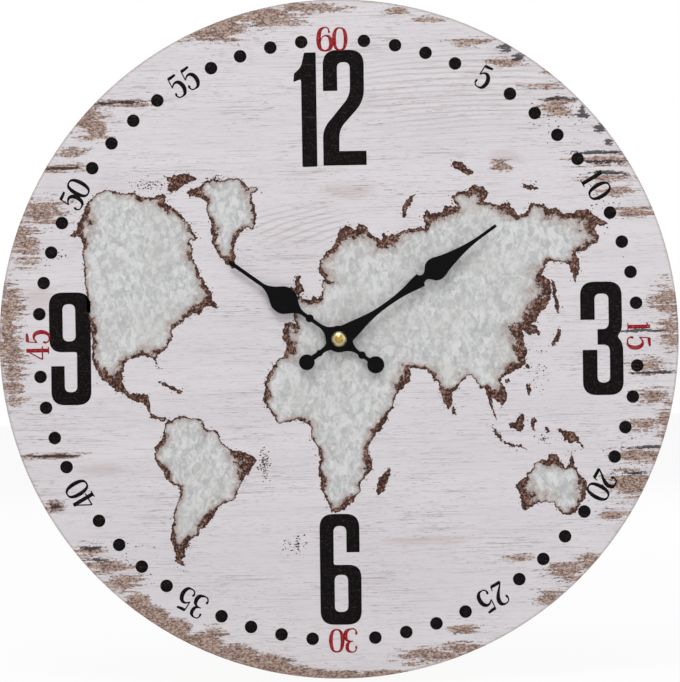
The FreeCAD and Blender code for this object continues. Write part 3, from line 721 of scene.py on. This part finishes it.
def cover_marks():
    """Plus and minus beside the battery, and a curved arrow beside the knob that sets the hands."""
    low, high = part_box("setting_knob")
    knob = ((low[0] + high[0]) / 2, (low[2] + high[2]) / 2)
    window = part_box("battery")[1][2] + SIGN_GAP
    near, far = SIGN_PLACE - SIGN_HALF, SIGN_PLACE + SIGN_HALF
    strokes = [
        [(near, window, SIGN_PEN), (far, window, SIGN_PEN)],
        [(SIGN_PLACE, window - SIGN_HALF, SIGN_PEN), (SIGN_PLACE, window + SIGN_HALF, SIGN_PEN)],
        [(-far, window, SIGN_PEN), (-near, window, SIGN_PEN)],
    ]
    arc = [math.radians(angle) for angle in ARROW_ANGLES]
    spots = [(knob[0] + ARROW_RADIUS * math.cos(a), knob[1] + ARROW_RADIUS * math.sin(a)) for a in arc]
    strokes.append([(*spot, ARROW_PEN) for spot in spots])
    for angle, (x, z), onward in ((arc[0], spots[0], -ARROW_HEAD), (arc[-1], spots[-1], ARROW_HEAD)):
        tip = (x - math.sin(angle) * onward, z + math.cos(angle) * onward)
        strokes.append([(x, z, ARROW_FOOT), (*tip, ARROW_TIP)])
    splines = []
    for index, stroke in enumerate(strokes):
        points = [(x, -z, index * STROKE_LIFT, half) for x, z, half in stroke]
        splines.append(("NURBS", points, False))
    piece = pen_piece("cover_marks", splines)
    stand_up(piece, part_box("rear_cover")[1][1], -90)
    # The marks are the cover's own black plastic; their pale grey is a painted highlight on their relief
    pale = moulded("highlit_marks", (148, 148, 146), (160, 160, 158), 0.5)
    printed(piece, pale)


cover_marks()

# ---------------------------------------------------------------- minute dots
DOT_RADIUS, DOT_RING, DOT_CORNERS = 0.00318, 0.1502, 28


def minute_dots():
    """A dot for each minute that has no numeral, all in one piece."""
    dots = []
    for minute in range(60):
        if minute % 5:
            turn = math.radians(minute * MINUTE_DEGREES)
            x = RING_MIDDLE[0] + DOT_RING * math.sin(turn)
            y = RING_MIDDLE[1] + DOT_RING * math.cos(turn)
            deselect()
            bpy.ops.mesh.primitive_circle_add(
                vertices=DOT_CORNERS, radius=DOT_RADIUS, fill_type="NGON", location=(x, y, -INK)
            )
            bpy.ops.object.mode_set(mode="EDIT")
            bpy.ops.mesh.extrude_region_move(TRANSFORM_OT_translate={"value": (0, 0, 2 * INK)})
            bpy.ops.object.mode_set(mode="OBJECT")
            dots.append(bpy.context.active_object)
    deselect()
    for dot in dots:
        dot.select_set(True)
    bpy.context.view_layer.objects.active = dots[0]
    bpy.ops.object.join()
    piece = bpy.context.active_object
    bpy.ops.object.transform_apply(location=True, rotation=True, scale=True)
    piece.name = "minute_dots"
    stand_up(piece)
    printed(piece, BLACK_INK)


minute_dots()

# ---------------------------------------------------------------- map of the world
# Coasts on the sketch, going round each land
LANDS = {
    "north_america": [
        (87, 203), (98, 193), (110, 189.5), (118.5, 192.5), (125, 194), (135, 192.5), (141, 197), (152, 197),
        (162, 193.5), (167, 197), (165, 203), (172, 207.5), (180.5, 214), (189, 224), (192.5, 231.5),
        (198, 237), (194.5, 241), (191, 239), (189, 242.5), (193.5, 248), (192.5, 256.5), (197, 266),
        (201, 277), (206.5, 285), (210.5, 291), (212, 299), (217, 304.5), (217.5, 308.5), (212, 306.5),
        (204, 307.5), (200, 315), (193.5, 313), (187, 317.5), (180.5, 324), (174, 328), (171.7, 341),
        (168.5, 345), (162, 352), (157.5, 355), (155.5, 359.5), (160, 369), (154, 360), (143.5, 356),
        (137, 357.5), (130, 358), (125, 363), (124, 369), (123, 376), (122, 382), (126, 390), (130.5, 394),
        (139, 393), (148, 394), (150, 402), (150, 408), (152, 414), (161, 417), (166.5, 418), (160, 420.5),
        (151, 418), (147, 407), (141, 402), (130.5, 398.5), (122, 393), (113, 388), (104.5, 381), (98, 373.5),
        (93.5, 365), (92.5, 352), (92.5, 341), (90, 324), (87, 300), (85, 285), (84, 272), (83.5, 261),
        (83.5, 250), (80.5, 237), (67.5, 236), (75, 230.5), (79, 222), (82.5, 214),
    ],
    "arctic_islands": [
        (163, 175), (172, 177), (180, 174), (189, 174), (197, 178), (187, 184), (180, 188), (172, 193.5),
        (167, 189), (170, 183),
    ],
    "greenland": [
        (186, 192.5), (191, 189), (200, 186), (206.5, 180.5), (214, 178), (223, 180.5), (226, 179.5),
        (235, 178), (242.5, 180.5), (248, 187), (256.5, 187), (255.5, 192.5), (251, 193.5), (252, 200),
        (255.5, 206.5), (256.5, 217.5), (255.5, 224), (252, 229.5), (247, 227), (241, 232.5), (238, 237),
        (235, 245.5), (236, 256.5), (235, 266.5), (231.5, 268.5), (226, 264), (219.5, 256.5), (214, 245.5),
        (212, 235), (211, 222), (207.5, 213), (206.5, 202), (201, 198), (196, 197), (190, 197),
    ],
    "south_america": [
        (168.5, 419.3), (174, 418.2), (178.3, 416), (184.8, 416), (192.4, 418.2), (197.8, 418.2),
        (204.3, 424.7), (206.5, 429), (215.2, 430.1), (219.6, 434.5), (221.7, 442.1), (226.1, 446.4),
        (232.6, 450.8), (241.3, 450.8), (247.8, 454), (253.3, 456.2), (256.5, 459.5), (254.3, 464.9),
        (250, 471.4), (244.6, 478), (240.2, 484.5), (238, 493.2), (233.7, 499.7), (226.1, 503),
        (219.6, 506.2), (215.2, 512.7), (210.9, 519.3), (205.4, 528), (200, 529), (198.9, 534.5),
        (191.3, 538.8), (189.1, 544.3), (184.8, 549.7), (185.9, 556.2), (181.5, 560.6), (185.9, 567.1),
        (180.4, 564.9), (175, 561.7), (176.1, 555.1), (172.8, 545.3), (170.7, 536.7), (171.7, 525.8),
        (173.9, 512.7), (179.3, 497.5), (180.4, 491), (177.2, 485.6), (168.5, 480.1), (163, 471.4),
        (157.6, 464.9), (154.3, 454), (155.4, 446.4), (162, 438.8), (164.1, 430.1), (166.3, 422.5),
    ],
    "old_world": [
        (283.8, 323.8), (282.5, 337.5), (286, 347.5), (283.7, 354), (279.3, 359.5), (272.8, 367),
        (266.3, 376.9), (265.2, 383.4), (264.1, 393.2), (262, 399.7), (267.4, 408.4), (272.8, 416),
        (278.3, 423.6), (289.1, 421.9), (295.7, 419.3), (303.3, 421.4), (308.7, 424.7), (312, 428),
        (310.9, 436.7), (316.3, 445.3), (319.6, 456.2), (318.5, 469.3), (320.7, 482.3), (323.9, 493.2),
        (328.3, 503), (331.5, 512.7), (338, 512), (345.4, 508.4), (353, 503), (356.3, 495.3), (360.7, 491),
        (360.7, 482.3), (368.3, 473.6), (372.6, 470.3), (371.5, 458.4), (368.3, 451.9), (370.4, 443.2),
        (375.9, 434.5), (383.5, 428), (386.7, 420.3), (391.1, 410.6), (394.3, 401.9), (396.5, 394.3),
        (404.1, 387.7), (410.7, 380.1), (410.7, 372.5), (409, 368), (415, 368.2), (427, 369.3), (433.5, 379),
        (438.9, 382.3), (441.1, 393.2), (444.3, 404), (448.7, 409.5), (452, 404), (452, 393.2),
        (459.6, 384.5), (466.1, 376.9), (471.5, 374.7), (475.9, 379), (480.2, 388.8), (484.6, 387.7),
        (487.8, 397.5), (490, 406.2), (493.3, 414.9), (496.5, 420.3), (495, 412), (492.2, 398.6),
        (496.5, 400.8), (500.9, 405.1), (506.3, 400.8), (507.4, 393.2), (503, 384.5), (499.8, 381.2),
        (504.1, 375.8), (507.4, 374.7), (513.9, 371.4), (520.4, 368.2), (525.9, 360.6), (527, 351.9),
        (524.8, 345.3), (523.7, 341), (522, 331), (530, 335), (536.7, 333), (538.9, 336), (536.7, 326),
        (528, 323), (537, 320), (540, 313), (545.4, 308.7), (549.8, 300), (552, 289.1), (549.8, 280.4),
        (543.3, 275), (541, 275), (543.3, 271.7), (545.4, 264.1), (550.9, 260.9), (559.6, 262),
        (568.3, 264.1), (570.4, 268.5), (572.6, 276.1), (575.9, 282.6), (579.1, 267.4), (579.1, 258.7),
        (575.9, 252.2), (585.7, 250), (590, 245.7), (598.7, 239.1), (595.4, 230.4), (596.5, 225), (600, 226),
        (607.4, 222.8), (600.9, 218.5), (591.1, 212), (586.7, 208.7), (578, 209.8), (570.4, 213),
        (563.9, 214.1), (557.4, 207.6), (548.7, 208.7), (542.2, 204.3), (531.3, 202.2), (524.8, 213),
        (518.3, 215.2), (513.9, 208.7), (508.5, 201.1), (500.9, 204.3), (492.2, 203.3), (483.5, 201.1),
        (488.9, 192.4), (481.3, 185.9), (472.6, 184.8), (466.1, 191.3), (458.5, 191.3), (450.9, 197.8),
        (457.4, 206.5), (443.3, 205.4), (442.2, 212), (430.2, 214.1), (427, 208.7), (422.6, 217.4),
        (424.8, 229.3), (420.4, 226), (411.7, 228.3), (398.7, 232.6), (388.9, 237), (383.5, 232.6),
        (381.3, 240.2), (374.8, 237), (368.3, 231.5), (366.1, 226), (357.4, 222.8), (356.3, 229.3),
        (348.7, 226), (340, 228), (332.5, 246), (325, 253.8), (320, 260), (318.8, 272.5), (330, 283.8),
        (322.5, 279), (323.8, 289), (317.5, 299), (313.8, 295.5), (310, 300), (305, 299), (297.5, 296),
        (291, 304), (294, 318), (297.5, 325), (289, 323),
    ],
    "great_britain": [(295, 275), (301, 276), (301, 284), (304, 290), (299, 295.5), (294, 294), (296, 286)],
    "ireland": [(287.5, 289), (291, 286.5), (294, 289), (292.5, 293), (288.5, 293)],
    "novaya_zemlya": [(403, 218), (402, 208.7), (408, 199), (416, 194), (413, 201), (407, 209), (406, 216)],
    "severnaya_zemlya": [(452, 164), (459, 161), (466, 165), (474, 172), (469, 176), (461, 171), (455, 169)],
    "siberian_islands": [(522, 183), (530, 184), (539, 189), (531, 190), (524, 188)],
    "cuba": [(158, 381), (166, 382.5), (175, 387), (183, 392), (180, 394), (171, 389.5), (162, 385)],
    "madagascar": [
        (390, 467), (390.4, 471.4), (387.8, 480), (384.6, 491), (379, 495.3), (375.9, 491), (378, 482.3),
        (379, 476.9), (384.6, 472.5),
    ],
    "ceylon": [(453, 406), (456, 409), (456, 414), (453, 415.5), (451.5, 411)],
    "sumatra": [(491, 426), (495, 428), (500, 434), (503.5, 440), (500, 440.5), (495, 435)],
    "java": [(502, 441), (509, 442), (517, 444), (525.5, 446.5), (524, 449), (514, 447), (505, 444.5)],
    "borneo": [
        (508.5, 423.6), (513.9, 422.5), (520.4, 412.7), (524.8, 415), (524.8, 425.8), (521.5, 433.4),
        (516, 429), (509.6, 428),
    ],
    "new_guinea": [
        (558.5, 428), (566, 430), (574.8, 432.3), (579, 440), (584.6, 447.5), (578, 443.2), (570.4, 443.2),
        (563.9, 441), (563.9, 436.7), (558.5, 431.2),
    ],
    "australia": [
        (516, 483.4), (520.4, 480), (527, 475.8), (532.4, 469.3), (535.7, 462.7), (541, 459.5),
        (546.5, 460.6), (548.7, 453), (557.4, 454), (559.6, 460.6), (566, 468.2), (569.3, 462.7),
        (570.4, 450.8), (574.8, 462.7), (578, 471.4), (584.6, 478), (587.8, 488.8), (585.7, 497.5),
        (580.2, 505), (574.8, 512.7), (568.3, 514.9), (561.7, 512.7), (555.2, 507.3), (554, 501.9),
        (546.5, 500.8), (538.9, 501.9), (533.5, 506.2), (524.8, 510.6), (521.5, 506.2), (520.4, 495.3),
        (517.2, 488.8),
    ],
    "sakhalin": [
        (551, 279), (554, 281), (556, 292), (559, 304), (560, 313), (557, 313), (554.5, 300), (552, 288),
    ],
    "japan": [(558, 328), (561, 331), (560, 338), (555, 345), (551.5, 347), (554, 340), (557, 334)],
    "philippines": [(527, 383), (531, 384), (531.5, 391), (529, 396), (526.5, 389)],
    "celebes": [(531, 419), (535, 417), (537.5, 421), (535, 425), (536, 431), (532.5, 430), (531, 425)],
    "hainan": [(505, 379), (509, 378), (510, 382), (506.5, 383)],
    "taiwan": [(526.5, 363), (529.5, 364), (529, 369), (526.5, 368)],
    "moluccas": [(545, 427), (549, 428), (549.5, 432), (546, 433)],
}
# Where the rust reaches further inland: place on the sketch, its radius and its strength
RUST = [
    (334, 238, 16, 0.9), (352, 232, 16, 0.6), (385, 243, 14, 0.8), (298, 352, 14, 0.7), (538, 306, 26, 1.0),
    (512, 330, 18, 1.0), (520, 348, 14, 0.9), (545, 285, 14, 1.0), (530, 270, 10, 0.4), (585, 222, 16, 0.9),
    (440, 212, 18, 0.7), (480, 192, 16, 0.6), (510, 208, 14, 0.7), (550, 212, 14, 0.6), (180, 182, 14, 1.0),
    (88, 222, 16, 0.5), (110, 382, 20, 0.8), (140, 398, 14, 0.9), (200, 300, 16, 0.5), (168, 205, 12, 0.5),
    (245, 462, 16, 0.9), (210, 520, 14, 0.7), (164, 470, 10, 0.5), (182, 555, 14, 0.8), (195, 192, 10, 0.8),
    (212, 230, 10, 0.5), (238, 240, 10, 0.5), (266, 395, 9, 0.5), (370, 460, 14, 0.6), (385, 425, 14, 0.6),
    (405, 380, 14, 0.8), (325, 480, 9, 0.4), (448, 398, 12, 0.8), (490, 400, 14, 1.0), (505, 395, 9, 1.0),
    (515, 365, 12, 0.6), (525, 490, 12, 0.9), (582, 490, 12, 0.5), (552, 458, 10, 0.9), (570, 460, 8, 0.9),
    (345, 505, 12, 0.4), (575, 265, 9, 0.9), (288, 334, 12, 0.5), (310, 298, 9, 0.6), (92, 330, 8, 0.3),
    (230, 262, 10, 0.5), (520, 340, 12, 0.5), (416, 222, 10, 0.7),
]


# Sides longer than COAST_FINEST mm are broken in two, at a corner pushed in or out by chance: by
# about COAST_SWING of the side's length, up to COAST_COUNTED mm of it, and at most COAST_MOST of it
COAST_FINEST, COAST_SWING, COAST_COUNTED, COAST_MOST = 0.55, 0.21, 1.6, 0.4


def ragged_coast(outline, dice):
    """Breaks each side of an outline into smaller and smaller uneven ones, as a coast is."""
    points = [on_face_mm(*spot) for spot in outline]
    while True:
        longer = []
        for here, there in zip(points, points[1:] + points[:1]):
            longer.append(here)
            length = math.dist(here, there)
            if length > COAST_FINEST:
                push = dice.gauss(0, COAST_SWING) * min(length, COAST_COUNTED)
                push = max(-COAST_MOST * length, min(COAST_MOST * length, push))
                side = ((here[1] - there[1]) / length, (there[0] - here[0]) / length)
                share = dice.uniform(0.4, 0.6)
                spot = [here[k] + (there[k] - here[k]) * share + side[k] * push for k in (0, 1)]
                longer.append(tuple(spot))
        if len(longer) == len(points):
            return points
        points = longer


TINY = 1e-12


def coast_distance(spots, outline):
    """The distance of each spot from the outline, and whether it lies inside it."""
    start = np.array(outline)
    side = np.roll(start, -1, axis=0) - start
    nearest = np.full(len(spots), np.inf)
    inside = np.zeros(len(spots), bool)
    for (ax, ay), (dx, dy) in zip(start, side):
        px, py = spots[:, 0] - ax, spots[:, 1] - ay
        share = np.clip((px * dx + py * dy) / (dx * dx + dy * dy + TINY), 0, 1)
        nearest = np.minimum(nearest, np.hypot(px - share * dx, py - share * dy))
        beside = (ay > spots[:, 1]) != (ay + dy > spots[:, 1])
        inside ^= beside & (px < dx * py / (dy or TINY))
    return nearest, inside


def flat_mesh(name, points, faces):
    """A mesh on the ground plane, from points in mm."""
    data = bpy.data.meshes.new(name)
    data.from_pydata([(x / 1000, y / 1000, 0) for x, y in points], [], faces)
    return place(name, data)


def add_numbers(piece, name, numbers):
    """Gives each corner of a piece a number that its finish can read."""
    layer = piece.data.attributes.new(name, "FLOAT", "POINT")
    layer.data.foreach_set("value", [float(number) for number in numbers])


# A land is filled with rows of corners GRID_STEP apart, COAST_MARGIN inland of its coast, in mm
GRID_STEP = 1.3
ROW_STEP = GRID_STEP * 0.87
COAST_MARGIN = 0.45
TRIANGLES_INSIDE, MERGED = 1, 1e-6
# Rust fades out at RUST_REACH times its radius. Lands of fewer than SMALL_COAST corners are rusty.
RUST_REACH = 1.3
SMALL_COAST, SMALL_LAND_RUST = 12, 0.9


def land(name, outline, dice):
    """Makes one land of the map and returns its ragged coast."""
    coast = ragged_coast(outline, dice)
    low, high = np.min(coast, axis=0), np.max(coast, axis=0)
    columns = np.arange(low[0], high[0], GRID_STEP)
    rows = np.arange(low[1], high[1], ROW_STEP)
    grid = np.array([(x + (row % 2) * GRID_STEP / 2, y) for row, y in enumerate(rows) for x in columns])
    distance, inside = coast_distance(grid, coast)
    inner = grid[inside & (distance > COAST_MARGIN)].tolist()
    corners = coast + [tuple(spot) for spot in inner]
    ring = list(range(len(coast)))
    made = delaunay_2d_cdt(corners, [], [ring], TRIANGLES_INSIDE, MERGED)
    points = [tuple(spot) for spot in made[0]]
    piece = flat_mesh(name, points, made[2])
    spots = np.array(points)
    add_numbers(piece, "coast", coast_distance(spots, coast)[0])
    rusty = np.zeros(len(spots))
    for across, down, radius, strength in RUST:
        x, z = on_face_mm(across, down)
        away = np.hypot(spots[:, 0] - x, spots[:, 1] - z) / (radius * SKETCH * 1000)
        rusty = np.maximum(rusty, strength * np.clip(RUST_REACH - away, 0, 1))
    if len(outline) < SMALL_COAST:
        rusty = np.maximum(rusty, SMALL_LAND_RUST)
    add_numbers(piece, "rusty", rusty)
    thicken(piece, 2 * INK)
    stand_up(piece)
    printed(piece, ZINC)
    return coast


dice = random.Random(4)
coasts = [land("map_" + name, outline, dice) for name, outline in LANDS.items()]


# ---------------------------------------------------------------- specks of rust
# No speck lies further out than SPECK_LIMIT mm. COAST_SHARE of a coast's corners have one.
SPECK_LIMIT = 168
COAST_SHARE = 0.16
# Clusters of specks: place on the sketch, width, height and how many
CLUSTERS = [
    (265, 465, 6, 15, 110), (295, 545, 14, 10, 60), (147, 184, 18, 8, 70), (215, 178, 12, 4, 20),
    (60, 256, 14, 10, 25), (540, 372, 8, 30, 30), (545, 440, 12, 8, 30), (480, 300, 60, 60, 40),
    (120, 560, 40, 20, 40), (600, 200, 30, 30, 50), (630, 470, 25, 30, 50), (560, 120, 40, 30, 40),
]


def rust_specks(coasts, dice):
    """Small uneven specks along the coasts and in a few clusters at sea."""
    points, faces = [], []

    def speck(x, y, radius):
        if math.hypot(x, y) > SPECK_LIMIT:
            return
        first = len(points)
        corners = dice.randint(5, 7)
        for corner in range(corners):
            turn = 2 * math.pi * corner / corners
            reach = radius * dice.uniform(0.5, 1.3)
            points.append((x + reach * math.cos(turn) * 1.3, y + reach * math.sin(turn)))
        faces.append(range(first, first + corners))

    for coast in coasts:
        for here, there in zip(coast, coast[1:] + coast[:1]):
            if dice.random() < COAST_SHARE:
                length = math.dist(here, there) or 1
                away = abs(dice.gauss(0, 1.1)) + 0.25
                side = ((there[1] - here[1]) / length, (here[0] - there[0]) / length)
                flip = dice.choice((-1, 1))
                x, y = (here[k] + side[k] * away * flip for k in (0, 1))
                speck(x, y, dice.uniform(0.10, 0.36))
    for across, down, wide, high, count in CLUSTERS:
        for _ in range(count):
            x, z = on_face_mm(across + dice.gauss(0, wide / 2), down + dice.gauss(0, high / 2))
            speck(x, z, dice.uniform(0.12, 0.45))
    piece = flat_mesh("rust_specks", points, faces)
    add_numbers(piece, "coast", [0] * len(points))
    add_numbers(piece, "rusty", [1] * len(points))
    thicken(piece, INK)
    stand_up(piece)
    printed(piece, ZINC)


rust_specks(coasts, dice)

# ---------------------------------------------------------------- studio
# Each lamp's place, its turn in degrees, its width in metres and its watts
LAMPS = {
    "key_lamp": ((-0.25, -1.5, 1.5), (46, 0, -9), 1.1, 17.5),
    "fill_lamp": ((0.9, -1.8, 0.2), (85, 0, 26), 1.4, 6.5),
    "back_lamp": ((0.3, 1.8, 1.2), (-58, 0, 0), 1.2, 14),
}
WHITE = (1, 1, 1, 1)
SKY_LIGHT = 0.50
FLOOR_SIZE, FLOOR_LEVEL, FLOOR_GLOW = 12, -0.1725, 0.9


def backdrop_rays(tones):
    """1 for rays that see the backdrop straight, in a mirror or through something clear."""
    kinds = ("Is Camera Ray", "Is Glossy Ray", "Is Transmission Ray")
    straight, mirrored, through = (tones.node("LightPath", output=kind) for kind in kinds)
    return (straight + mirrored + through).least(1)


def studio_floor():
    """A pale floor just under the clock, which glows so that it melts into the backdrop."""
    deselect()
    bpy.ops.mesh.primitive_plane_add(size=FLOOR_SIZE, location=(0, 0, FLOOR_LEVEL))
    floor = bpy.context.active_object
    floor.name = "floor"
    bpy.ops.object.transform_apply(location=True, rotation=True, scale=True)
    made = Finish("pale_floor")
    made.set(Base_Color=shade(236, 236, 236), Roughness=0.9)
    tree = made.start.tree
    glow = made.start.node("Emission", {}, {"Color": WHITE, "Strength": 1.0})
    surface = Tone(tree, made.shader.outputs[0])
    share = backdrop_rays(made.start) * FLOOR_GLOW
    mixed = made.start.node("MixShader", {}, {0: share, 1: surface, 2: glow})
    tree.links.new(mixed.socket, tree.nodes["Material Output"].inputs["Surface"])
    floor.data.materials.append(made.material)


def studio_sky():
    world = bpy.data.worlds.new("studio")
    bpy.context.scene.world = world
    world.use_nodes = True
    tree = world.node_tree
    tree.nodes.clear()
    tones = Tone(tree)
    soft = tones.node("Background", {}, {"Color": WHITE, "Strength": SKY_LIGHT})
    white = tones.node("Background", {}, {"Color": WHITE, "Strength": 1.0})
    mixed = tones.node("MixShader", {}, {0: backdrop_rays(tones), 1: soft, 2: white})
    output = tree.nodes.new("ShaderNodeOutputWorld")
    tree.links.new(mixed.socket, output.inputs["Surface"])


for name, setting in LAMPS.items():
    lamp(name, *setting)
studio_floor()
studio_sky()
bpy.context.scene.view_settings.view_transform = "Standard"
